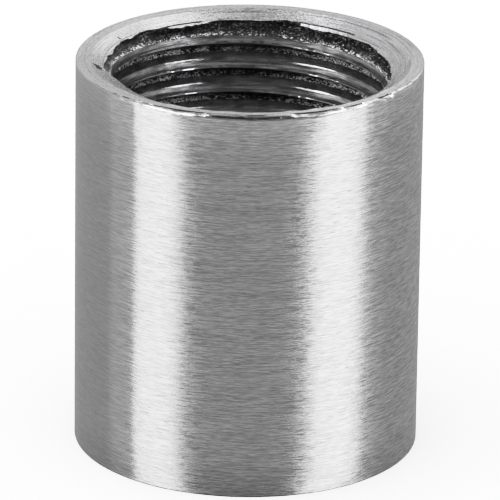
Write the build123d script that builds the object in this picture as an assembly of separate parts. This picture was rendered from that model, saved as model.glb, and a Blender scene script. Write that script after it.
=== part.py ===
from build123d import *
from build123d.topology import SkipClean

import math
import os

# Plain threaded pipe coupling, 1/2 inch (DN 15), turned from stainless bar.
# One parallel pipe thread (Whitworth form, 14 threads per inch) is tapped right through it.
# The axis is +Z and the bottom face lies on Z = 0. Lengths are in millimetres, angles in degrees.

# Body
OUTER_DIAMETER = 24.3
LENGTH = 28.0
EDGE_BREAK = 0.1

# Bore and the countersink at each mouth
DRILL_DIAMETER = 19.0
MOUTH_DIAMETER = 22.3
MOUTH_ANGLE = 130.0

# Thread. The groove ends abruptly in the upper countersink, and runs out through the lower one.
INCH = 25.4
THREADS_PER_INCH = 14
THREAD_MAJOR_DIAMETER = 20.955
FLANK_HALF_ANGLE = 27.5
ROOT_RADIUS_PER_PITCH = 0.137329
GROOVE_END_AZIMUTH = 190.0
GROOVE_END_DEPTH = 0.43
GROOVE_TURNS = 17

# How far the drill and the countersinks reach past the faces they cut, and the groove cutter's inner radius
CUTTER_OVERRUN = 1.0
GROOVE_INNER_RADIUS = 9.2

OUTER_RADIUS = OUTER_DIAMETER / 2
BORE_RADIUS = DRILL_DIAMETER / 2
MOUTH_RADIUS = MOUTH_DIAMETER / 2
MOUTH_SLOPE = math.tan(math.radians(MOUTH_ANGLE / 2))
MOUTH_DEPTH = (MOUTH_RADIUS - BORE_RADIUS) / MOUTH_SLOPE
THREAD_MAJOR_RADIUS = THREAD_MAJOR_DIAMETER / 2
PITCH = INCH / THREADS_PER_INCH
ROOT_RADIUS = ROOT_RADIUS_PER_PITCH * PITCH


def turned_bar():
    """The solid bar, with both outer edges broken."""
    bar = Pos(0, 0, LENGTH / 2) * Cylinder(OUTER_RADIUS, LENGTH)
    return chamfer(bar.edges().filter_by(GeomType.CIRCLE), EDGE_BREAK)


def drill():
    """The tapping drill, longer than the bar at both ends."""
    return Pos(0, 0, LENGTH / 2) * Cylinder(BORE_RADIUS, LENGTH + 2 * CUTTER_OVERRUN)


def mouth_cutter():
    """The countersink of the bottom mouth, wide end down."""
    wide = MOUTH_RADIUS + CUTTER_OVERRUN * MOUTH_SLOPE
    narrow = BORE_RADIUS - CUTTER_OVERRUN * MOUTH_SLOPE
    return Pos(0, 0, MOUTH_DEPTH / 2) * Cone(wide, narrow, MOUTH_DEPTH + 2 * CUTTER_OVERRUN)


def groove_section():
    """The groove in the radial plane: two straight flanks and a rounded root."""
    half_angle = math.radians(FLANK_HALF_ANGLE)
    tangent_radius = THREAD_MAJOR_RADIUS - ROOT_RADIUS * (1 - math.sin(half_angle))
    tangent_half_width = ROOT_RADIUS * math.cos(half_angle)
    inner_half_width = tangent_half_width + (tangent_radius - GROOVE_INNER_RADIUS) * math.tan(half_angle)
    upper_inner = (GROOVE_INNER_RADIUS, inner_half_width)
    upper_tangent = (tangent_radius, tangent_half_width)
    lower_tangent = (tangent_radius, -tangent_half_width)
    lower_inner = (GROOVE_INNER_RADIUS, -inner_half_width)
    upper_flank = Line(upper_inner, upper_tangent)
    root = ThreePointArc(upper_tangent, (THREAD_MAJOR_RADIUS, 0), lower_tangent)
    lower_flank = Line(lower_tangent, lower_inner)
    inner_side = Line(lower_inner, upper_inner)
    return Plane.XZ * make_face([upper_flank, root, lower_flank, inner_side])


def groove_turns():
    """The right-hand helical groove as a stack of single turns that meet end to end, highest first."""
    path = Helix(PITCH, PITCH, GROOVE_INNER_RADIUS)
    turn = Rot(0, 0, GROOVE_END_AZIMUTH) * sweep(groove_section(), path=path, is_frenet=True)
    end_height = LENGTH - GROOVE_END_DEPTH
    return [Pos(0, 0, end_height - (index + 1) * PITCH) * turn for index in range(GROOVE_TURNS)]


def in_quarter_turns(body):
    """The same body, with each crest land split into quarter turns by the XZ and YZ planes."""
    quarters = []
    for half in body.split(Plane.XZ, keep=Keep.BOTH):
        quarters.extend(half.split(Plane.YZ, keep=Keep.BOTH))
    with SkipClean():
        return quarters[0].fuse(*quarters[1:])


def coupling_body():
    """The finished coupling, one solid."""
    bottom_mouth = mouth_cutter()
    top_mouth = Pos(0, 0, LENGTH) * Rot(180, 0, 0) * bottom_mouth
    with SkipClean():
        body = turned_bar() - groove_turns() - drill() - bottom_mouth - top_mouth
    return in_quarter_turns(body)


os.makedirs("parts", exist_ok=True)
export_step(coupling_body(), "parts/coupling_body.step")
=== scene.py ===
import math

import bpy
import numpy as np
from mathutils import Matrix, Vector, noise


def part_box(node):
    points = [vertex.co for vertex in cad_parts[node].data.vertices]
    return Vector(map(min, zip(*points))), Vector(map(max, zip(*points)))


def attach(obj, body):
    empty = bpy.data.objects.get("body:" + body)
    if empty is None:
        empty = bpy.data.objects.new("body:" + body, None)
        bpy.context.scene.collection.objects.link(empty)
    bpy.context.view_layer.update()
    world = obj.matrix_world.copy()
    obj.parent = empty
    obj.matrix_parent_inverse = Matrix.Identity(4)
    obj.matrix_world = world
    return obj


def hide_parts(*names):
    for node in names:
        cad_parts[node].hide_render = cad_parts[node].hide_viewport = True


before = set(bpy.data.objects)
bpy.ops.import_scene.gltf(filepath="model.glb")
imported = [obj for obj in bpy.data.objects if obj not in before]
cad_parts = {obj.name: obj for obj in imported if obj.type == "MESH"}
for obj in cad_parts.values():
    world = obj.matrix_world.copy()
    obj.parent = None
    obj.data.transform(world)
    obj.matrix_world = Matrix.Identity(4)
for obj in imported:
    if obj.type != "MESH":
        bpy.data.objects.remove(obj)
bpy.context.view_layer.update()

# A threaded pipe coupling, turned and brushed from stainless bar, standing on a pale floor.
# Positions come from the CAD box. Unless a comment says otherwise, shape dimensions are in millimetres and
# angles in degrees. Azimuth runs anticlockwise from +X, and depth runs down from the top face.
MM = 0.001

NODE = "coupling_body"
LOW, HIGH = (Vector(corner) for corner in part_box(NODE))
OUTER_RADIUS = (HIGH.x - LOW.x) / 2 / MM
LENGTH = (HIGH.z - LOW.z) / MM
FOOT = Vector(((HIGH.x + LOW.x) / 2, (HIGH.y + LOW.y) / 2, LOW.z))
CENTRE = FOOT + Vector((0.0, 0.0, LENGTH * MM / 2))

# Bore, mouths and the 14-per-inch pipe thread, as they are in the CAD
BORE_RADIUS = 9.5
MOUTH_RADIUS = 11.15
MOUTH_SLOPE = math.tan(math.radians(65.0))
PITCH = 25.4 / 14
FLANK_ANGLE = math.radians(27.5)
FLANK_SLOPE = math.tan(FLANK_ANGLE)
FLANK_MEET_RADIUS = 10.768
ROOT_RADIUS = 10.4775
ROOT_FILLET = 0.249
EDGE_BREAK = 0.1
TURNS = 18

# The groove's highest turn: where it starts, its depth there, and where it has grown to full size
START_AZIMUTH = 200.0
START_DEPTH = 0.38
FULL_AZIMUTH = 188.5


# ---------------------------------------------------------------- camera

# How far the camera looks down, and how far it leans to one side, in radians
CAMERA_ELEVATION = math.radians(20.59)
CAMERA_ROLL = 0.0135
# How far the camera stands back from the coupling's centre, and how far to the right and down from the line
# through it, in outer radii
CAMERA_BACK = 35.067
CAMERA_RIGHT = 0.0146
CAMERA_DOWN = 0.0180
FOCAL_LENGTH = 436.07
SENSOR_WIDTH = 36.0
# Nearest and furthest distance that the camera sees, in metres
CLIP_START = 0.01
CLIP_END = 60.0


def add_camera():
    """A long lens that looks down on the coupling."""
    back = Vector((0.0, -math.cos(CAMERA_ELEVATION), math.sin(CAMERA_ELEVATION)))
    right = Vector((1.0, 0.0, 0.0))
    up = right.cross(-back)
    away = back * CAMERA_BACK + right * CAMERA_RIGHT - up * CAMERA_DOWN
    place = CENTRE + away * (OUTER_RADIUS * MM)
    turned_right = right * math.cos(CAMERA_ROLL) + up * math.sin(CAMERA_ROLL)
    turned_up = up * math.cos(CAMERA_ROLL) - right * math.sin(CAMERA_ROLL)
    data = bpy.data.cameras.new("camera")
    data.sensor_width = SENSOR_WIDTH
    data.lens = FOCAL_LENGTH
    data.clip_start = CLIP_START
    data.clip_end = CLIP_END
    camera = bpy.data.objects.new("camera", data)
    axes = Matrix((turned_right, turned_up, back)).transposed()
    camera.matrix_world = Matrix.Translation(place) @ axes.to_4x4()
    bpy.context.scene.collection.objects.link(camera)
    bpy.context.scene.camera = camera


add_camera()


# ---------------------------------------------------------------- columns and noise

# Columns of vertices stand side by side round the axis, clockwise from the start of the groove, and rows
# follow the thread down. Columns are closer together over the side of the bore that faces the camera.
FINE_END_AZIMUTH = -52.0
FINE_STEP = 0.74
COARSE_STEP = 1.2
# Each noise is read from its own place, this far along the axes for every unit of its seed
SEED_STEPS = (17.3, 5.1, 9.7)


def column_azimuths():
    """Clockwise from the groove's start: closely spaced ones first, then wider ones."""
    fine = np.arange(START_AZIMUTH, FINE_END_AZIMUTH, -FINE_STEP)
    last = START_AZIMUTH - 360.0
    count = round((FINE_END_AZIMUTH - last) / COARSE_STEP)
    return np.concatenate((fine, np.linspace(FINE_END_AZIMUTH, last, count, endpoint=False)))


AZIMUTHS = column_azimuths()
COLUMNS = len(AZIMUTHS)
COS = np.cos(np.radians(AZIMUTHS))
SIN = np.sin(np.radians(AZIMUTHS))


def rough(radius, depth, along, across, seed):
    """Gradient noise from -1 to 1 at every column and row, in lumps this long round the axis and this wide
    across it."""
    shift = Vector([seed * step for step in SEED_STEPS])
    x = (COS[:, None] * radius / along).ravel()
    y = (SIN[:, None] * radius / along).ravel()
    z = (depth / across).ravel()
    values = [noise.noise(Vector(p) + shift) for p in zip(x, y, z)]
    return np.array(values).reshape(depth.shape)


def round_noise(length, seed):
    """Gradient noise round the rim, one value for each column."""
    ring = np.full((COLUMNS, 1), OUTER_RADIUS)
    return rough(ring, np.zeros((COLUMNS, 1)), length, 1.0, seed)[:, 0]


def patchy(middle, swing, length, seed, low=0.0, high=1.0):
    """A share that wanders round the rim to either side of `middle`, and stays between low and high."""
    return np.clip(middle + swing * round_noise(length, seed), low, high)


def azimuth_from(azimuth):
    """How far each column stands from this azimuth, from -180 to 180."""
    return (AZIMUTHS - azimuth + 180.0) % 360.0 - 180.0


def bump_at(azimuth, width):
    """A hump round the rim, 1 at its azimuth and 0 beyond its half width."""
    return np.clip(1.0 - np.abs(azimuth_from(azimuth)) / width, 0.0, 1.0)


def dome_at(azimuth, width):
    """The same with a blunt top."""
    return bump_at(azimuth, width) ** 0.5


def cone_depth(radius, worn=0.0):
    """Depth of the mouth's cone at this radius, where its lip is worn outwards by this much."""
    return (MOUTH_RADIUS + worn - radius) / MOUTH_SLOPE


# ---------------------------------------------------------------- thread

# Radius to which the lower corner of each crest is rounded
CORNER = 0.035
# Radii of the rows part way up each flank, and angles of the rows round the root's fillet
FLANK_ROWS = (9.79, 10.07)
ROOT_FILLET_ANGLES = (62.5, 33.0)
# Radius and depth from the groove's centre of the rows down the upper corner of the next crest, which the tap
# rubbed round, and across its land, and whether deep turns leave the row out
RUBBED_ROWS = (
    (9.9, 0.452, False),
    (9.81, 0.507, True),
    (9.74, 0.566, False),
    (9.67, 0.65, True),
    (9.58, 0.79, False),
    (BORE_RADIUS, 0.98, True),
)
# Turns from this one down leave the spare rows out
FINE_TURNS = 6


def thread_section():
    """One pitch of the thread: each row's radius, its depth from the groove's centre, and whether deep turns
    leave it out."""
    width = (FLANK_MEET_RADIUS - BORE_RADIUS) * FLANK_SLOPE
    fillet_centre = ROOT_RADIUS - ROOT_FILLET
    corner = [
        (BORE_RADIUS, width + CORNER, False),
        (BORE_RADIUS + 0.3 * CORNER, width + 0.1 * CORNER, True),
        (BORE_RADIUS + CORNER * math.cos(FLANK_ANGLE), width - CORNER * math.sin(FLANK_ANGLE), False),
    ]
    flank = [(radius, (FLANK_MEET_RADIUS - radius) * FLANK_SLOPE, True) for radius in FLANK_ROWS]
    fillet = []
    for angle, spare in zip(ROOT_FILLET_ANGLES, (False, True)):
        turn = math.radians(angle)
        fillet.append((fillet_centre + ROOT_FILLET * math.cos(turn), ROOT_FILLET * math.sin(turn), spare))
    ceiling = [(radius, -depth, spare) for radius, depth, spare in corner + flank + fillet]
    floor = fillet[::-1] + [flank[-1]]
    return ceiling + [(ROOT_RADIUS, 0.0, False)] + floor + list(RUBBED_ROWS)


SECTION = thread_section()
ROWS = len(SECTION)
SECTION_RADIUS = np.array([row[0] for row in SECTION])
SECTION_DEPTH = np.array([row[1] for row in SECTION])
SECTION_SPARE = np.array([row[2] for row in SECTION])
# The crest's row from which the burr hangs, how far it stands into the bore, and how far down it leans
BURR_ROW = 1
BURR_REACH = (0.045, 0.06)
BURR_DROP = 0.02
# How far each row is torn: the ceiling and root were torn by the tap, and the floor and land rubbed smooth
SECTION_TEAR = np.array([
    0.012, 0.03, 0.022, 0.03, 0.036, 0.045, 0.055, 0.06, 0.05, 0.02,
    0.006, 0.004, 0.003, 0.002, 0.002, 0.002, 0.002,
])
# How many torn facets show painted glints at each thread row, from few at 0 to many at 1
TEAR_SHARE = np.array([0.6, 0.9, 0.2, 0.1, 0.1, 0.3, 0.7, 1.0, 1.0, 0.8, 0.3, 0.0, 0.0, 0.0, 0.0, 0.0, 0.0])
# The same in the first two turns of rows, where the facets lie along the root and the crest's corner
FIRST_TEAR = np.tile([
    0.2, 0.2, 0.0, 0.0, 0.0, 0.1, 0.4, 0.5, 0.3,
    0.1, 0.1, 0.2, 0.6, 0.8, 0.6, 0.1, 0.0,
], 2)
# Azimuth and half width of the stretch at the back that is less torn, and how much less
CALM_BACK = (88.0, 34.0)
CALM_SHARE = 0.75
# Thread rows whose faces, down to the next row, were cut smooth: the groove's floor and the crest. The groove
# starts so small that no face above the first smooth row is.
SMOOTH_ROWS = tuple(range(9, ROWS)) + (0,)
FIRST_SMOOTH = 2 * ROWS - 3


def thread_rows():
    """Radius and depth of every thread row at every column, before the mouths cut it."""
    turn = np.arange(TURNS)
    fall = (START_AZIMUTH - AZIMUTHS) / 360.0 * PITCH
    centre = START_DEPTH + fall[:, None] + (turn - 1)[None, :] * PITCH
    growth = np.clip((START_AZIMUTH - AZIMUTHS) / (START_AZIMUTH - FULL_AZIMUTH), 0.0, 1.0)
    size = np.ones((COLUMNS, TURNS))
    size[:, 0] = 0.0
    size[:, 1] = growth

    def in_turns(section):
        """The section's value at every row, sized like its turn."""
        return (size[:, :, None] * section).reshape(COLUMNS, -1)

    depth = (centre[:, :, None] + SECTION_DEPTH).reshape(COLUMNS, -1)
    radius = BORE_RADIUS + in_turns(SECTION_RADIUS - BORE_RADIUS)
    tear = in_turns(SECTION_TEAR)
    coarse = rough(radius, depth, along=0.9, across=0.22, seed=1)
    fine = rough(radius, depth, along=0.28, across=0.1, seed=2)
    # Some patches are torn much more than others
    patch = np.clip(0.65 + 1.1 * rough(radius, depth, along=3.0, across=1.2, seed=3), 0.15, 1.5)
    radius = radius + tear * patch * (1.1 * coarse + 0.9 * fine)
    depth = depth + 0.6 * tear * patch * rough(radius, depth, along=0.35, across=0.3, seed=4)
    ragged = rough(radius, depth, along=0.5, across=2.0, seed=5)
    burr = in_turns(np.arange(ROWS) == BURR_ROW)
    least, most = BURR_REACH
    radius = radius - burr * (least + most * np.clip(ragged, 0.0, 1.0))
    depth = depth + burr * BURR_DROP
    return radius, depth


# ---------------------------------------------------------------- wear and damage

# Azimuth, half width and size of the places where the mouth's inner edge is torn: positive is chipped back,
# negative is a burr that stands over the thread
MOUTH_DAMAGE = (
    (-38.0, 36.0, 1.35),
    (2.0, 22.0, 0.25),
    (30.0, 10.0, 0.15),
    (76.0, 9.0, 0.2),
    (60.0, 12.0, -0.12),
    (110.0, 7.0, -0.12),
    (121.0, 16.0, -0.44),
    (147.0, 14.0, -0.2),
    (166.0, 14.0, -0.48),
    (180.0, 10.0, -0.34),
    (191.0, 8.0, -0.35),
)
# Size of the longer and the shorter nicks all along that edge, and of those where it is torn
LONG_NICKS = 0.03
SHORT_NICKS = 0.022
TORN_NICKS = 0.1
# Azimuth and half width of the cracks that run beside the mouth's inner edge, and how far the sliver inside
# them is bent down
MOUTH_CRACKS = ((127.0, 17.0, -0.035), (61.0, 18.0, 0.06))
CRACK_DEPTH = 0.2
# Radius that the cracks follow, and how far they wander from it
CRACK_RADIUS = 10.07
CRACK_WANDER = 0.05
# Rows of the cracks: how far out of that radius each lies, and its share of the crack's depth
CRACK_ROWS = ((0.12, 0.0), (0.06, 0.0), (0.03, 1.0), (-0.04, 1.0), (-0.07, 0.0))
# Those rows stay this far outside the mouth's inner edge, each a step closer than the one before
SLIVER = 0.06
SLIVER_STEP = 0.01
# Azimuth, radius, half size and depth of the pits in the mouth
MOUTH_PITS = (
    (189.5, 10.5, 0.28, 0.25),
    (187.0, 10.75, 0.2, 0.15),
    (186.0, 10.2, 0.16, 0.1),
    (152.0, 10.5, 0.1, 0.06),
)
# Cracks and pits deeper than this, and slivers narrower than this, take the groove's nearly black material as
# painted shade
SHADED_CRACK = 0.04
SHADED_PIT = 0.03
SHADED_SLIVER = 0.1
# Azimuth, half width and size of the stretch of the mouth's lip that is worn outwards
WORN_LIP = (-72.0, 76.0, 0.3)
# Azimuth, half width and size of the stretch of the upper outer edge that is worn round
EDGE_WORN = (-78.0, 66.0, 0.34)
# Azimuth and half width of the places where that edge is chipped, the chips' size, and how much it varies
EDGE_CHIPPED = ((-34.0, 15.0), (232.0, 12.0))
CHIP_SIZE = 0.05
CHIP_SWING = 0.12
# Size of the nicks all along it, and the least and most that it is worn in all
EDGE_NICKS = 0.015
LEAST_WEAR = 0.03
MOST_WEAR = 0.42
# Azimuth, half width and depth share of the hollows under the burr that is rolled over that edge
HOLLOWS = ((246.0, 10.0, 1.0), (-67.0, 9.0, 1.0), (221.0, 18.0, 0.5), (-53.0, 4.0, 0.9), (-34.0, 14.0, 0.8))
# Depth share of the fainter hollow that runs all round
FAINT_HOLLOW = 0.2
# A hollow of this half width or less is hardly broken: at least this share of it stays
WHOLE_HOLLOW = 12.0
WHOLE_SHARE = 0.8


def worn_lip():
    """How far the upper mouth's lip is worn outwards."""
    azimuth, width, size = WORN_LIP
    return size * dome_at(azimuth, width) * patchy(0.85, 0.5, length=0.9, seed=32)


def mouth_nicks():
    """How far the mouth's inner edge stands back from a clean cut."""
    ragged = TORN_NICKS * round_noise(0.45, seed=13)
    nick = LONG_NICKS * round_noise(0.7, seed=11) + SHORT_NICKS * round_noise(0.3, seed=12)
    for azimuth, width, size in MOUTH_DAMAGE:
        nick = nick + bump_at(azimuth, width) * (size + ragged)
    return nick


def mouth_cracks():
    """Depth of the cracks beside the mouth's inner edge, and how far the sliver inside them is bent down."""
    crack = np.zeros(COLUMNS)
    bend = np.zeros(COLUMNS)
    for azimuth, width, bent in MOUTH_CRACKS:
        share = bump_at(azimuth, width) ** 0.4
        crack = crack + CRACK_DEPTH * share * patchy(0.95, 0.8, length=0.9, seed=14, low=0.3)
        bend = bend + bent * share * patchy(0.9, 1.5, length=0.6, seed=15, low=0.2, high=1.3)
    return crack, bend


def mouth_pits(radius):
    """Depth of the pits at this radius of the mouth."""
    depth = np.zeros(COLUMNS)
    for azimuth, place, size, deep in MOUTH_PITS:
        round_way = np.radians(azimuth_from(azimuth)) * place
        depth = depth + deep * np.clip(1.0 - np.hypot(round_way, radius - place) / size, 0.0, 1.0) ** 0.5
    return depth


def edge_wear():
    """Size of the break along the upper outer edge."""
    wear = EDGE_BREAK * (0.6 + 0.3 * round_noise(2.5, seed=21)) + EDGE_NICKS * round_noise(0.4, seed=22)
    azimuth, width, size = EDGE_WORN
    wear = wear + size * dome_at(azimuth, width)
    chips = CHIP_SIZE + CHIP_SWING * round_noise(0.55, seed=23)
    for azimuth, width in EDGE_CHIPPED:
        wear = wear + dome_at(azimuth, width) * chips
    return np.clip(wear, LEAST_WEAR, MOST_WEAR)


def edge_hollow():
    """Share of the full depth of the hollow under the burr that was rolled over the upper outer edge."""
    broken = patchy(0.4, 3.0, length=0.4, seed=25)
    hollow = FAINT_HOLLOW * patchy(0.3, 1.8, length=1.6, seed=24)
    for azimuth, width, size in HOLLOWS:
        whole = broken if width > WHOLE_HOLLOW else np.maximum(broken, WHOLE_SHARE)
        hollow = hollow + size * dome_at(azimuth, width) * whole
    return np.clip(hollow, 0.0, 1.0)


# Depth within which the upper mouth's cone ends, and height within which the lower one's does
MOUTH_REACH = 4.0
# A thread row closer than this to a mouth's inner edge is left out
LEAST_GAP = 0.02
# Thread rows this close to the root's radius are kept, however far the edge is chipped back
KEPT_ROOT = 0.1
# The inner edge is never chipped back past this radius
LAST_EDGE = 10.97


def crossing(radius, left, column, row):
    """Radius at which the thread crosses the mouth's cone, between the row above and this one."""
    above = left[column, row - 1]
    share = above / (above - left[column, row])
    return radius[column, row - 1] + share * (radius[column, row] - radius[column, row - 1])


def upper_edge(radius, depth, worn):
    """Where the upper mouth cuts each column: the edge's radius, and the first thread row below it."""
    left = depth - cone_depth(radius, worn[:, None])
    cut_away = (left <= 0.0) & (depth < MOUTH_REACH)
    nick = mouth_nicks()
    edge = np.zeros(COLUMNS)
    first = np.zeros(COLUMNS, int)
    for c in range(COLUMNS):
        row = int(np.nonzero(cut_away[c])[0][-1]) + 1
        r = crossing(radius, left, c, row)
        low = cone_depth(r, worn[c])
        reach = max(nick[c], LEAST_GAP)
        while radius[c, row] < ROOT_RADIUS - KEPT_ROOT:
            if math.hypot(radius[c, row] - r, depth[c, row] - low) >= reach:
                break
            row += 1
        edge[c] = min(r + nick[c], LAST_EDGE)
        first[c] = row
    return edge, first


def lower_edge(radius, depth):
    """Where the lower mouth cuts each column: the edge's radius, and the first thread row past it."""
    left = LENGTH - depth - cone_depth(radius)
    cut_away = (left <= 0.0) & (depth > LENGTH - MOUTH_REACH)
    edge = np.zeros(COLUMNS)
    first = np.zeros(COLUMNS, int)
    for c in range(COLUMNS):
        row = int(np.nonzero(cut_away[c])[0][0])
        r = crossing(radius, left, c, row)
        low = LENGTH - cone_depth(r)
        while math.hypot(radius[c, row - 1] - r, depth[c, row - 1] - low) < LEAST_GAP:
            row -= 1
        edge[c] = r
        first[c] = row
    return edge, first


# ---------------------------------------------------------------- body

# Material slots
WALL, FACE, MOUTH, SHADED_GROOVE, CREST = range(5)
# Rows of faces across each mouth's cone, and up the wall
MOUTH_ROWS = 7
WALL_ROWS = 10
# The wall's rows are spaced evenly from the bottom edge to this depth, which is below the worn edge
WALL_TOP = 0.5
# Angles of the rows round the outer edges, and radii of the rows on the end faces
EDGE_ANGLES = (0.0, 30.0, 60.0, 90.0)
FACE_RADII = (11.19, 11.26, 11.38, 11.55, 11.72)
# The top face lies this far below the CAD's, and the burrs along its lip stand up from it
FACE_DROP = 0.025
# How far inside the mouth's lip its burr stands, and the cone's first row lies
LIP_BURR = 0.03
LIP_ROW = 0.08
# Depth below the top face of the hollow's foot and of its two further rings: where there is no hollow, and
# how much more where it is whole. The further rings are cut in under the burr.
HOLLOW_FOOT = (0.012, 0.13)
HOLLOW_RINGS = ((0.008, 0.1), (0.004, 0.03))
UNDERCUT = 0.04
# A hollow of more than this share takes the groove's nearly black material, as painted shade
SHADED_HOLLOW = 0.3


class Body:
    """Vertices and faces, gathered ring by ring: up the wall, over the top face and down the bore."""

    def __init__(self):
        self.points = []
        self.tears = []
        self.faces = []
        self.slots = []

    def point(self, column, radius, depth, tear):
        """One vertex, and how torn the groove is there, which sets how many painted glints it shows."""
        self.points.append((radius * COS[column], radius * SIN[column], LENGTH - depth))
        self.tears.append(tear)
        return len(self.points) - 1

    def ring(self, radius, depth):
        """One vertex for each column, where nothing is torn."""
        radius = np.broadcast_to(radius, (COLUMNS,))
        depth = np.broadcast_to(depth, (COLUMNS,))
        return np.array([self.point(c, radius[c], depth[c], 0.0) for c in range(COLUMNS)])

    def face(self, corners, slot):
        """Corners that fell together are dropped, and a face that has collapsed to a line isn't made."""
        kept = [v for i, v in enumerate(corners) if v != corners[i - 1]]
        if len(set(kept)) > 2:
            self.faces.append(kept)
            self.slots.append(slot)

    def strip(self, ring, following, slot, ring_end=None, following_end=None):
        """Faces from one ring to the following one. Past the last column they close on the first, or on the
        ends."""
        ring = np.append(ring, ring[0] if ring_end is None else ring_end)
        following = np.append(following, following[0] if following_end is None else following_end)
        corners = np.stack((ring[:-1], following[:-1], following[1:], ring[1:]), axis=1)
        for face, number in zip(corners.tolist(), np.broadcast_to(slot, (COLUMNS,)).tolist()):
            self.face(face, number)


def edge_rings(body, wear, shoulder, upper):
    """The rounded outer edge, from the wall to the end face or to the hollow's foot."""
    rings = []
    for angle in EDGE_ANGLES:
        turn = math.radians(90.0 - angle)
        r = OUTER_RADIUS - wear * (1.0 - math.sin(turn))
        d = shoulder + wear * (1.0 - math.cos(turn))
        rings.append(body.ring(r, d if upper else LENGTH - d))
    return rings


def upper_rim(body):
    """The upper outer edge, from the wall up to the face, with the hollow under its rolled burr."""
    wear = edge_wear()
    hollow = edge_hollow()
    # Painted shade: where the hollow is deep, its further rings take the groove's nearly black material
    dark = np.where(hollow > SHADED_HOLLOW, SHADED_GROOVE, WALL)
    shallow, deeper = HOLLOW_FOOT
    path = [(ring, WALL) for ring in edge_rings(body, wear, FACE_DROP + shallow + deeper * hollow, True)]
    for shallow, deeper in HOLLOW_RINGS:
        ring = body.ring(OUTER_RADIUS - wear - UNDERCUT * hollow, FACE_DROP + shallow + deeper * hollow)
        path.append((ring, dark))
    path.append((body.ring(OUTER_RADIUS - wear, FACE_DROP), FACE))
    return path


def upper_cone(body, edge, worn):
    """The upper mouth, from its lip to its inner edge, with its cracks and pits."""
    start = MOUTH_RADIUS + worn - LIP_ROW
    cracks, bend = mouth_cracks()
    cracked = cracks > SHADED_CRACK
    beside = CRACK_RADIUS + CRACK_WANDER * round_noise(1.5, seed=16)
    rings = []
    for i, (out, share) in enumerate(CRACK_ROWS):
        rings.append((np.maximum(beside + out, edge + SLIVER - SLIVER_STEP * i), share))
    outermost = rings[0][0]
    innermost = rings[-1][0]
    path = []
    above = 0.0
    for row in range(MOUTH_ROWS):
        r = start + (outermost - start) * row / MOUTH_ROWS
        pit = mouth_pits(r)
        # Painted shade: deep pits take the groove's nearly black material
        slot = np.where(np.maximum(pit, above) > SHADED_PIT, SHADED_GROOVE, MOUTH)
        path.append((body.ring(r, cone_depth(r, worn) + pit), slot))
        above = pit
    above = 0.0
    for r, share in rings:
        # Painted shade: deep cracks take it too
        slot = np.where(cracked, SHADED_GROOVE, MOUTH) if max(share, above) > 0.0 else MOUTH
        path.append((body.ring(r, cone_depth(r, worn) + share * cracks), slot))
        above = share
    # Painted shade: so does a narrow sliver inside a crack
    narrow = np.where(cracked & (innermost - edge < SHADED_SLIVER), SHADED_GROOVE, MOUTH)
    for share in (0.5, 1.0):
        r = innermost + (edge - innermost) * share
        path.append((body.ring(r, cone_depth(r, worn) + share * bend), narrow))
    return path


def add_outside(body, upper_mouth, worn):
    """The bottom face, the wall, the top face and the upper mouth. Returns the bottom lip and the mouth's
    inner edge."""
    lip = body.ring(MOUTH_RADIUS, LENGTH)
    path = [(lip, FACE)]
    path += [(body.ring(r, LENGTH), FACE) for r in FACE_RADII]
    path += [(ring, WALL) for ring in reversed(edge_rings(body, EDGE_BREAK, 0.0, False))]
    for row in range(1, WALL_ROWS):
        share = row / WALL_ROWS
        depth = (1.0 - share) * (LENGTH - EDGE_BREAK) + share * WALL_TOP
        path.append((body.ring(OUTER_RADIUS, depth), WALL))
    path += upper_rim(body)
    for r in reversed(FACE_RADII):
        inward = (FACE_RADII[-1] - r) / (FACE_RADII[-1] - MOUTH_RADIUS)
        path.append((body.ring(r + inward * worn, FACE_DROP), FACE))
    burr = FACE_DROP * patchy(0.35, 1.5, length=0.8, seed=31)
    path.append((body.ring(MOUTH_RADIUS + worn - LIP_BURR, FACE_DROP - burr), FACE))
    path += upper_cone(body, upper_mouth, worn)
    for (ring, _), (following, slot) in zip(path, path[1:]):
        body.strip(ring, following, slot)
    return lip, path[-1][0]


def add_thread(body, radius, depth, edge, first, end, past):
    """The bore, from the upper mouth's edge to the lower one's. One turn's rows run on into the next
    turn's."""
    rows = radius.shape[1]
    index = np.zeros((COLUMNS, rows), int)
    tears = np.tile(TEAR_SHARE, TURNS)
    tears[:len(FIRST_TEAR)] = FIRST_TEAR
    torn = 1.0 - CALM_SHARE * bump_at(*CALM_BACK)
    for c in range(COLUMNS):
        for k in range(rows):
            if k < first[c]:
                index[c, k] = edge[c]
            elif k >= past[c]:
                index[c, k] = end[c]
            elif k >= FINE_TURNS * ROWS and SECTION_SPARE[k % ROWS]:
                index[c, k] = index[c, k - 1]
            else:
                index[c, k] = body.point(c, radius[c, k], depth[c, k], float(tears[k] * torn[c]))
    runs_on = np.concatenate((index[0, ROWS:], np.full(ROWS, end[0])))
    body.strip(edge, index[:, 0], SHADED_GROOVE, following_end=runs_on[0])
    for k in range(rows - 1):
        smooth = k % ROWS in SMOOTH_ROWS and k >= FIRST_SMOOTH
        body.strip(index[:, k], index[:, k + 1], CREST if smooth else SHADED_GROOVE, runs_on[k], runs_on[k + 1])
    body.strip(index[:, -1], end, SHADED_GROOVE, ring_end=runs_on[-1])


def build_body():
    """The whole coupling as one closed mesh."""
    body = Body()
    radius, depth = thread_rows()
    worn = worn_lip()
    upper_mouth, first = upper_edge(radius, depth, worn)
    lower_mouth, past = lower_edge(radius, depth)
    lip, edge = add_outside(body, upper_mouth, worn)
    end = body.ring(lower_mouth, LENGTH - cone_depth(lower_mouth))
    add_thread(body, radius, depth, edge, first, end, past)
    ring = end
    for row in range(1, MOUTH_ROWS):
        r = lower_mouth + (MOUTH_RADIUS - lower_mouth) * row / MOUTH_ROWS
        following = body.ring(r, LENGTH - cone_depth(r))
        body.strip(ring, following, MOUTH)
        ring = following
    body.strip(ring, lip, MOUTH)
    return body


# ---------------------------------------------------------------- shader nodes

# Places of the colour sockets on a Mix node
MIX_LOW, MIX_HIGH, MIX_RESULT = 6, 7, 2


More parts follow.
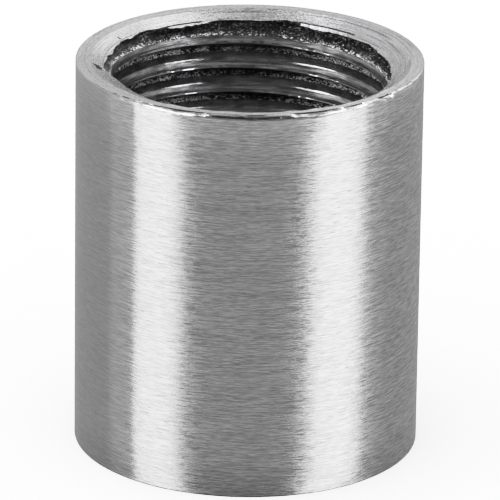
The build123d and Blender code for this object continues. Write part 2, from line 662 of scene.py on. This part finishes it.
class Nodes:
    """A short way to add and link shader nodes."""

    def __init__(self, name):
        self.material = bpy.data.materials.new(name)
        self.material.use_nodes = True
        self.tree = self.material.node_tree
        self.tree.nodes.clear()

    def add(self, kind, settings=None, **inputs):
        """A node of this kind. A gap in the name of an input is written as an underscore."""
        node = self.tree.nodes.new("ShaderNode" + kind)
        for key, value in (settings or {}).items():
            setattr(node, key, value)
        for key, value in inputs.items():
            self.put(node, key.replace("_", " "), value)
        return node

    def put(self, node, socket, value):
        """Links the socket to another node's, or sets it to a plain value."""
        if isinstance(value, bpy.types.NodeSocket):
            self.tree.links.new(value, node.inputs[socket])
        else:
            node.inputs[socket].default_value = value

    def place(self):
        """Coordinates on the object, in metres."""
        return self.add("TexCoord").outputs["Object"]

    def maths(self, operation, *values):
        """The value that this operation makes of these."""
        return self.calculate("Math", operation, values).outputs[0]

    def vectors(self, operation, *values):
        """The node for an operation on vectors, whose result is a vector or a value."""
        return self.calculate("VectorMath", operation, values)

    def calculate(self, kind, operation, values):
        node = self.add(kind, {"operation": operation})
        for i, value in enumerate(values):
            self.put(node, i, value)
        return node

    def blend(self, share, low, high):
        """low where share is 0 and high where it is 1."""
        node = self.add("MapRange", None, Value=share, To_Min=low, To_Max=high)
        return node.outputs["Result"]

    def ramp(self, value, low, high):
        """0 where value is under low and 1 where it is over high."""
        smooth = {"interpolation_type": "SMOOTHSTEP"}
        node = self.add("MapRange", smooth, Value=value, From_Min=low, From_Max=high)
        return node.outputs["Result"]

    def tint(self, share, low, high):
        """One colour where share is 0 and the other where it is 1."""
        node = self.add("Mix", {"data_type": "RGBA"}, Factor=share)
        self.put(node, MIX_LOW, low)
        self.put(node, MIX_HIGH, high)
        return node.outputs[MIX_RESULT]

    def noise(self, vector, detail, roughness):
        """Smooth noise round 0.5, with lumps one unit wide."""
        node = self.add("TexNoise", None, Vector=vector, Scale=1.0, Detail=detail, Roughness=roughness)
        return node.outputs["Fac"]

    def bump(self, height, rise):
        """The surface's direction where each unit of height stands `rise` mm high."""
        node = self.add("Bump", None, Height=height, Distance=rise * MM, Strength=1.0)
        return node.outputs["Normal"]


def grey(level, blue=0.0):
    """A grey, or one a touch bluer."""
    return level, level, level + blue, 1.0


def facing(azimuth):
    """The level direction at this azimuth."""
    return math.cos(math.radians(azimuth)), math.sin(math.radians(azimuth)), 0.0


def grain(nodes, along, across, flat=False, shift=0.0):
    """Coordinates drawn out round the axis: grain `along` mm long and `across` mm wide, measured down the
    height, or outwards on a flat end."""
    split = nodes.add("SeparateXYZ", None, Vector=nodes.place())
    x, y, z = split.outputs
    if flat:
        squares = nodes.maths("ADD", nodes.maths("MULTIPLY", x, x), nodes.maths("MULTIPLY", y, y))
        z = nodes.maths("SQRT", squares)
    joined = nodes.add("CombineXYZ")
    nodes.put(joined, "X", nodes.maths("MULTIPLY_ADD", x, 1.0 / (along * MM), shift))
    nodes.put(joined, "Y", nodes.maths("MULTIPLY_ADD", y, 1.0 / (along * MM), shift))
    nodes.put(joined, "Z", nodes.maths("MULTIPLY", z, 1.0 / (across * MM)))
    return joined.outputs[0]


def wavy(nodes, coordinates, reach, size):
    """The coordinates, shifted across the grain by a slow noise so that the grain wanders."""
    slow = nodes.add("TexNoise", None, Vector=nodes.place(), Scale=1.0 / (size * MM), Detail=1.0)
    shift = nodes.add("CombineXYZ")
    nodes.put(shift, "Z", nodes.maths("MULTIPLY_ADD", slow.outputs["Fac"], reach, -0.5 * reach))
    return nodes.vectors("ADD", coordinates, shift.outputs[0]).outputs[0]


# Anisotropic rotation at which highlights spread across marks that run round the axis: a quarter turn
ACROSS_MARKS = 0.25
# Depth of scratches and scored lines, as a share of the height of the marks around them
LINE_DEPTH = 0.8


def metal(nodes, colour, roughness, normal, anisotropic, metallic=1.0):
    """Stainless steel whose marks run round the axis, so its highlights spread across them."""
    shader = nodes.add("BsdfPrincipled", None, Metallic=metallic, Anisotropic=anisotropic)
    shader.inputs["Anisotropic Rotation"].default_value = ACROSS_MARKS
    tangent = nodes.add("Tangent", {"direction_type": "RADIAL", "axis": "Z"})
    nodes.put(shader, "Tangent", tangent.outputs[0])
    nodes.put(shader, "Base Color", colour)
    nodes.put(shader, "Roughness", roughness)
    nodes.put(shader, "Normal", normal)
    nodes.add("OutputMaterial", None, Surface=shader.outputs[0])
    return nodes.material


# ---------------------------------------------------------------- materials

# Azimuth at which handling has worn the wall's brush marks down most, and how far out towards it, in outer
# radii, the wear begins and is complete
WORN_SIDE = 195.0
WORN_FROM = 0.74
WORN_TO = 0.96
# Share of the brush marks that is left there
WORN_LEFT = 0.4


def worn_side(nodes):
    """1 on the side of the wall where handling has worn the brush marks down, and 0 away from it."""
    toward = nodes.vectors("DOT_PRODUCT", nodes.place(), facing(WORN_SIDE)).outputs["Value"]
    return nodes.ramp(toward, WORN_FROM * OUTER_RADIUS * MM, WORN_TO * OUTER_RADIUS * MM)


def brushed_wall():
    """Short and long brush marks round the wall, and a few darker scratches."""
    nodes = Nodes("brushed_wall")
    short = wavy(nodes, grain(nodes, along=0.8, across=0.06), reach=1.4, size=1.6)
    short = nodes.ramp(nodes.noise(short, detail=2.0, roughness=0.6), 0.36, 0.64)
    long = wavy(nodes, grain(nodes, along=2.6, across=0.09, shift=7.0), reach=1.2, size=2.5)
    long = nodes.ramp(nodes.noise(long, detail=2.0, roughness=0.6), 0.36, 0.64)
    cloud = nodes.noise(grain(nodes, along=5.0, across=2.5, shift=3.0), detail=2.0, roughness=0.5)
    scratch = wavy(nodes, grain(nodes, along=1.3, across=0.075, shift=21.0), reach=2.2, size=1.5)
    scratch = nodes.ramp(nodes.noise(scratch, detail=1.0, roughness=0.5), 0.68, 0.75)
    contrast = nodes.blend(worn_side(nodes), 1.0, WORN_LEFT)
    scratch = nodes.maths("MULTIPLY", scratch, contrast)
    marks = nodes.maths("MULTIPLY_ADD", long, 0.4, nodes.maths("MULTIPLY", short, 0.6))
    marks = nodes.maths("MULTIPLY_ADD", nodes.maths("SUBTRACT", marks, 0.5), contrast, 0.5)
    colour = nodes.tint(marks, grey(0.39), grey(0.82))
    colour = nodes.tint(scratch, colour, grey(0.42, 0.005))
    rough_share = nodes.maths("MULTIPLY_ADD", cloud, 0.3, nodes.maths("MULTIPLY", marks, 0.7))
    height = nodes.maths("SUBTRACT", marks, nodes.maths("MULTIPLY", scratch, LINE_DEPTH))
    return metal(nodes, colour, nodes.blend(rough_share, 0.1, 0.28), nodes.bump(height, 0.007), 0.85)


def ring_lines(nodes, shift):
    """Thin concentric lines left by the lathe, each fading in and out round the axis."""
    lines = grain(nodes, along=9.0, across=0.1, flat=True, shift=shift)
    return nodes.ramp(nodes.noise(lines, detail=1.0, roughness=0.5), 0.6, 0.74)


# How far a scored line wanders from its radius
ARC_WANDER = 0.05
# A scored line is at its darkest within these shares of its half width and of its reach
ARC_CORE = 0.3
ARC_FULL = 0.6


def arc_line(nodes, radius, width, azimuth, reach):
    """A single scored line of this radius and half width, which fades out at `reach` degrees either side."""
    flat = nodes.vectors("MULTIPLY", nodes.place(), (1.0, 1.0, 0.0)).outputs[0]
    outwards = nodes.vectors("LENGTH", flat).outputs["Value"]
    slow = grain(nodes, along=1.5, across=1.5, flat=True, shift=radius)
    slow = nodes.noise(slow, detail=1.0, roughness=0.5)
    away = nodes.maths("ADD", outwards, (-radius - ARC_WANDER) * MM)
    away = nodes.maths("ABSOLUTE", nodes.maths("MULTIPLY_ADD", slow, 2.0 * ARC_WANDER * MM, away))
    across = nodes.ramp(away, width * MM, ARC_CORE * width * MM)
    toward = nodes.vectors("DOT_PRODUCT", nodes.place(), facing(azimuth)).outputs["Value"]
    cosine = nodes.maths("DIVIDE", toward, outwards)
    along = nodes.ramp(cosine, math.cos(math.radians(reach)), math.cos(math.radians(ARC_FULL * reach)))
    return nodes.maths("MULTIPLY", across, along)


def scored(nodes, arcs):
    """All of these arc lines together."""
    marks = 0.0
    for arc in arcs:
        marks = nodes.maths("MAXIMUM", marks, arc_line(nodes, *arc))
    return marks


def turned_mark(nodes, along, across, roughness=0.6, shift=0.0):
    """Marks left by the lathe on a flat end, this long and this wide."""
    marks = grain(nodes, along, across, flat=True, shift=shift)
    return nodes.ramp(nodes.noise(marks, detail=3.0, roughness=roughness), 0.3, 0.7)


# Height of the lathe's marks
LATHE_HEIGHT = 0.018


def turned_metal(nodes, marks, lines, colours, roughness, anisotropic):
    """Metal with these lathe marks, from dark to light, and with these lines cut in it."""
    low, high, line = colours
    colour = nodes.tint(lines, nodes.tint(marks, low, high), line)
    height = nodes.maths("SUBTRACT", marks, nodes.maths("MULTIPLY", lines, LINE_DEPTH))
    return metal(nodes, colour, roughness, nodes.bump(height, LATHE_HEIGHT), anisotropic)


# Radius, half width, azimuth and reach of the lines scored in the face and in the mouth
FACE_ARCS = (
    (11.33, 0.03, 28.0, 30.0),
    (11.86, 0.04, 140.0, 24.0),
    (11.5, 0.025, 200.0, 40.0),
    (11.25, 0.03, 96.0, 14.0),
)
MOUTH_ARCS = (
    (10.95, 0.06, 48.0, 26.0),
    (10.8, 0.035, 95.0, 16.0),
    (10.55, 0.025, 200.0, 18.0),
    (10.2, 0.03, 205.0, 16.0),
    (9.9, 0.03, 203.0, 14.0),
)


def turned_face():
    """The two end faces: lathe rings, a fine speckle and a few scored lines."""
    nodes = Nodes("turned_face")
    rings = turned_mark(nodes, along=1.4, across=0.06)
    speckle = turned_mark(nodes, along=0.16, across=0.09, roughness=0.7, shift=5.0)
    lines = nodes.maths("MAXIMUM", ring_lines(nodes, shift=4.0), scored(nodes, FACE_ARCS))
    marks = nodes.maths("MULTIPLY_ADD", rings, 0.5, nodes.maths("MULTIPLY", speckle, 0.5))
    colours = (grey(0.36, 0.01), grey(0.8, 0.01), grey(0.24, 0.01))
    return turned_metal(nodes, marks, lines, colours, nodes.blend(speckle, 0.22, 0.45), 0.4)


def cut_mouth():
    """The countersinks, a little darker and smoother than the faces."""
    nodes = Nodes("cut_mouth")
    rings = turned_mark(nodes, along=2.4, across=0.08)
    speckle = turned_mark(nodes, along=0.2, across=0.1, shift=5.0)
    lines = nodes.maths("MAXIMUM", ring_lines(nodes, shift=9.0), scored(nodes, MOUTH_ARCS))
    marks = nodes.maths("MULTIPLY_ADD", rings, 0.6, nodes.maths("MULTIPLY", speckle, 0.4))
    colours = (grey(0.34, 0.01), grey(0.76, 0.01), grey(0.2, 0.01))
    return turned_metal(nodes, marks, lines, colours, nodes.blend(speckle, 0.16, 0.36), 0.5)


def shaded_torn_groove():
    """The groove's ceiling and root, torn into small facets: nearly black as painted shade, with nearly white
    facets as painted glints.
    """
    nodes = Nodes("shaded_torn_groove")
    tear = nodes.add("Attribute", {"attribute_name": "tear"}).outputs["Fac"]
    torn = nodes.noise(grain(nodes, along=0.4, across=0.16, shift=9.0), detail=2.0, roughness=0.6)
    chips = nodes.noise(grain(nodes, along=0.13, across=0.08, shift=19.0), detail=1.0, roughness=0.5)
    facets = nodes.noise(grain(nodes, along=0.13, across=0.07, shift=15.0), detail=1.0, roughness=0.5)
    patches = nodes.noise(grain(nodes, along=0.9, across=0.5, shift=31.0), detail=1.0, roughness=0.5)
    facets = nodes.maths("MULTIPLY_ADD", patches, 0.3, facets)
    facets = nodes.ramp(nodes.maths("MULTIPLY_ADD", tear, 0.12, facets), 0.77, 0.81)
    # clean sets the painted light. Near 0 the colour is nearly black, which is painted shade in the groove
    # and in the cracks, pits and hollows that take this material. Near 1 it is nearly white and mostly not
    # metallic, which is painted glints.
    clean = nodes.maths("MULTIPLY", nodes.maths("MULTIPLY_ADD", tear, 0.8, 0.2), facets)
    colour = nodes.tint(clean, grey(0.03, 0.001), grey(0.95))
    height = nodes.maths("MULTIPLY_ADD", chips, 0.7, torn)
    roughness = nodes.blend(facets, 0.4, 0.25)
    return metal(nodes, colour, roughness, nodes.bump(height, 0.16), 0.0, nodes.blend(clean, 0.9, 0.25))


def smooth_crest():
    """The groove's floor and the crest: cut smooth, with fine marks along the thread."""
    nodes = Nodes("smooth_crest")
    marks = nodes.noise(grain(nodes, along=1.8, across=0.09), detail=3.0, roughness=0.6)
    marks = nodes.ramp(marks, 0.3, 0.7)
    stain = nodes.noise(grain(nodes, along=1.2, across=0.3, shift=15.0), detail=3.0, roughness=0.6)
    stain = nodes.ramp(stain, 0.4, 0.7)
    speck = nodes.noise(grain(nodes, along=0.2, across=0.12, shift=25.0), detail=1.0, roughness=0.5)
    speck = nodes.ramp(speck, 0.74, 0.8)
    colour = nodes.tint(marks, grey(0.15, 0.005), grey(0.34))
    colour = nodes.tint(stain, colour, grey(0.11, 0.005))
    height = nodes.maths("MULTIPLY_ADD", speck, 6.0, marks)
    return metal(nodes, colour, nodes.blend(marks, 0.07, 0.18), nodes.bump(height, 0.0035), 0.3, 0.89)


def pale_floor():
    """A matt, nearly white board with a faint mottle."""
    nodes = Nodes("pale_floor")
    mottle = nodes.noise(grain(nodes, along=60.0, across=60.0), detail=2.0, roughness=0.5)
    colour = nodes.tint(mottle, grey(0.83), grey(0.87))
    shader = nodes.add("BsdfPrincipled", None, Base_Color=colour, Roughness=0.9, Specular_IOR_Level=0.0)
    nodes.add("OutputMaterial", None, Surface=shader.outputs[0])
    return nodes.material


# ---------------------------------------------------------------- the piece

# Faces that meet at more than this angle keep a sharp edge between them
SHARP_ANGLE = 38.0


def make_piece(body, materials):
    """The coupling's one visible piece, which rides on the part's root and stands in for its CAD node."""
    mesh = bpy.data.meshes.new("coupling")
    mesh.from_pydata([(Vector(p) * MM + FOOT)[:] for p in body.points], [], body.faces)
    for material in materials:
        mesh.materials.append(material)
    mesh.polygons.foreach_set("material_index", body.slots)
    tear = mesh.attributes.new("tear", "FLOAT", "POINT")
    tear.data.foreach_set("value", body.tears)
    mesh.shade_smooth()
    mesh.set_sharp_from_angle(angle=math.radians(SHARP_ANGLE))
    mesh.update()
    piece = bpy.data.objects.new("coupling", mesh)
    bpy.context.scene.collection.objects.link(piece)
    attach(piece, "root")
    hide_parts(NODE)
    return piece


piece = make_piece(build_body(), [brushed_wall(), turned_face(), cut_mouth(), shaded_torn_groove(), smooth_crest()])


# ---------------------------------------------------------------- floor

# Radius of the floor's rings, and how far each stands above the coupling's foot, in metres
FLOOR_RINGS = ((0.9, 0.0), (1.2, 0.01), (1.6, 0.04), (40.0, 5.5))
FLOOR_SIDES = 96


def add_floor():
    """A plain floor under the coupling that rises gently far off. The metal's reflections leave it out, as in
    a light tent."""
    turns = [2.0 * math.pi * i / FLOOR_SIDES for i in range(FLOOR_SIDES)]
    points = []
    for size, rise in FLOOR_RINGS:
        points += [(size * math.cos(t), size * math.sin(t), FOOT.z + rise) for t in turns]
    faces = [tuple(range(FLOOR_SIDES))]
    for first in range(0, len(points) - FLOOR_SIDES, FLOOR_SIDES):
        for i in range(FLOOR_SIDES):
            after = (i + 1) % FLOOR_SIDES
            inner = (first + after, first + i)
            outer = (first + FLOOR_SIDES + i, first + FLOOR_SIDES + after)
            faces.append(outer + inner)
    mesh = bpy.data.meshes.new("floor")
    mesh.from_pydata(points, [], faces)
    mesh.materials.append(pale_floor())
    floor = bpy.data.objects.new("floor", mesh)
    floor.visible_glossy = False
    floor.visible_shadow = False
    bpy.context.scene.collection.objects.link(floor)


# ---------------------------------------------------------------- light

# Softboxes as the coupling sees them: the azimuths and elevations between which each stands, and its
# radiance. The boxes make the two bright bands on the wall, and the edges beside them keep its sides from
# going black. The high and low panels make the streaks on the crests, and the back ones light the far side.
PANELS = {
    "left_box": ((191.5, 223.5), (-55.0, 20.0), 1.7),
    "left_edge": ((168.0, 191.5), (-55.0, 20.0), 0.14),
    "right_box": ((314.0, 350.0), (-55.0, 20.0), 1.85),
    "right_edge": ((349.0, 370.0), (-55.0, 20.0), 0.12),
    "left_high": ((170.0, 212.0), (51.0, 65.0), 12.0),
    "right_high": ((347.0, 384.0), (51.0, 65.0), 12.0),
    "left_low": ((178.0, 212.0), (24.0, 42.0), 1.2),
    "right_low": ((328.0, 362.0), (24.0, 42.0), 1.2),
    "back_right": ((53.0, 77.0), (22.0, 62.0), 1.7),
    "back": ((84.0, 120.0), (25.0, 58.0), 0.45),
}
# Distance of the panels from the coupling's centre, in metres
PANEL_DISTANCE = 0.6
# Strength and angular size of the overhead light, and how far it leans forwards and sideways
SKY_STRENGTH = 10.0
SKY_ANGLE = 110.0
SKY_LEAN = (12.0, -8.0)
# The studio's grey on every side: how high its darkest and lightest levels lie, as the upward part of a
# direction, and how light they are
WORLD_HEIGHTS = (-0.9, -0.02)
WORLD_LEVELS = (0.0, 0.61)
# Elevation of the studio's dark part above the camera, how light it is, and the cosines of the angles from it
# at which it begins and is complete
DARK_ELEVATION = math.radians(62.0)
DARK_LEVEL = 0.02
DARK_COSINES = (0.64, 0.84)
# Place of the curve for all three colours together, and its points: scene light and what it becomes
ALL_COLOURS = 3
TONE_CURVE = ((0.0, 0.0), (0.25, 0.25), (0.5, 0.485), (0.8, 0.68), (1.2, 0.81), (2.0, 0.93), (3.0, 1.0))


def add_panel(name, azimuths, elevations, radiance):
    """A flat softbox that fills this range of directions as the coupling sees it."""
    azimuth = math.radians(sum(azimuths) / 2)
    elevation = math.radians(sum(elevations) / 2)
    half_wide = math.radians(azimuths[1] - azimuths[0]) / 2
    half_high = math.radians(elevations[1] - elevations[0]) / 2
    level = math.cos(elevation)
    width = 2.0 * PANEL_DISTANCE * math.tan(half_wide) * level
    height = 2.0 * PANEL_DISTANCE * math.tan(half_high)
    outward = Vector((math.cos(azimuth) * level, math.sin(azimuth) * level, math.sin(elevation)))
    data = bpy.data.lights.new(name, "AREA")
    data.shape = "RECTANGLE"
    data.size = width
    data.size_y = height
    data.energy = radiance * width * height * math.pi
    light = bpy.data.objects.new(name, data)
    turned = outward.to_track_quat("Z", "Y").to_matrix().to_4x4()
    light.matrix_world = Matrix.Translation(CENTRE + outward * PANEL_DISTANCE) @ turned
    light.visible_diffuse = False
    light.visible_camera = False
    bpy.context.scene.collection.objects.link(light)


def add_sky_light():
    """Even light from above for the floor and its soft shadow."""
    data = bpy.data.lights.new("overhead", "SUN")
    data.energy = SKY_STRENGTH
    data.angle = math.radians(SKY_ANGLE)
    light = bpy.data.objects.new("overhead", data)
    forwards, sideways = SKY_LEAN
    light.rotation_euler = (math.radians(forwards), math.radians(sideways), 0.0)
    light.visible_glossy = False
    bpy.context.scene.collection.objects.link(light)


def set_world():
    """A dim studio that grows lighter from below to just above the horizon, and is dark above the camera."""
    world = bpy.data.worlds.new("studio")
    world.use_nodes = True
    tree = world.node_tree
    place = tree.nodes.new("ShaderNodeTexCoord").outputs["Generated"]
    split = tree.nodes.new("ShaderNodeSeparateXYZ")
    tree.links.new(place, split.inputs[0])
    rise = tree.nodes.new("ShaderNodeMapRange")
    tree.links.new(split.outputs["Z"], rise.inputs["Value"])
    rise.inputs["From Min"].default_value, rise.inputs["From Max"].default_value = WORLD_HEIGHTS
    rise.inputs["To Min"].default_value, rise.inputs["To Max"].default_value = WORLD_LEVELS
    toward = tree.nodes.new("ShaderNodeVectorMath")
    toward.operation = "DOT_PRODUCT"
    tree.links.new(place, toward.inputs[0])
    toward.inputs[1].default_value = (0.0, -math.cos(DARK_ELEVATION), math.sin(DARK_ELEVATION))
    fade = tree.nodes.new("ShaderNodeMapRange")
    fade.interpolation_type = "SMOOTHSTEP"
    fade.inputs["From Min"].default_value, fade.inputs["From Max"].default_value = DARK_COSINES
    fade.inputs["To Max"].default_value = DARK_LEVEL
    tree.links.new(toward.outputs["Value"], fade.inputs["Value"])
    tree.links.new(rise.outputs["Result"], fade.inputs["To Min"])
    tree.links.new(fade.outputs["Result"], tree.nodes["Background"].inputs["Color"])
    bpy.context.scene.world = world


def set_tone():
    """A camera's tone curve: straight up to the middle greys, with a soft shoulder for the highlights."""
    settings = bpy.context.scene.view_settings
    settings.view_transform = "Standard"
    settings.use_curve_mapping = True
    mapping = settings.curve_mapping
    mapping.clip_max_x = TONE_CURVE[-1][0]
    curve = mapping.curves[ALL_COLOURS]
    curve.points[1].location = TONE_CURVE[-1]
    for place in TONE_CURVE[1:-1]:
        curve.points.new(*place)
    mapping.update()


add_floor()
add_sky_light()
for name, (azimuths, elevations, radiance) in PANELS.items():
    add_panel(name, azimuths, elevations, radiance)
set_world()
set_tone()

bpy.context.view_layer.update()
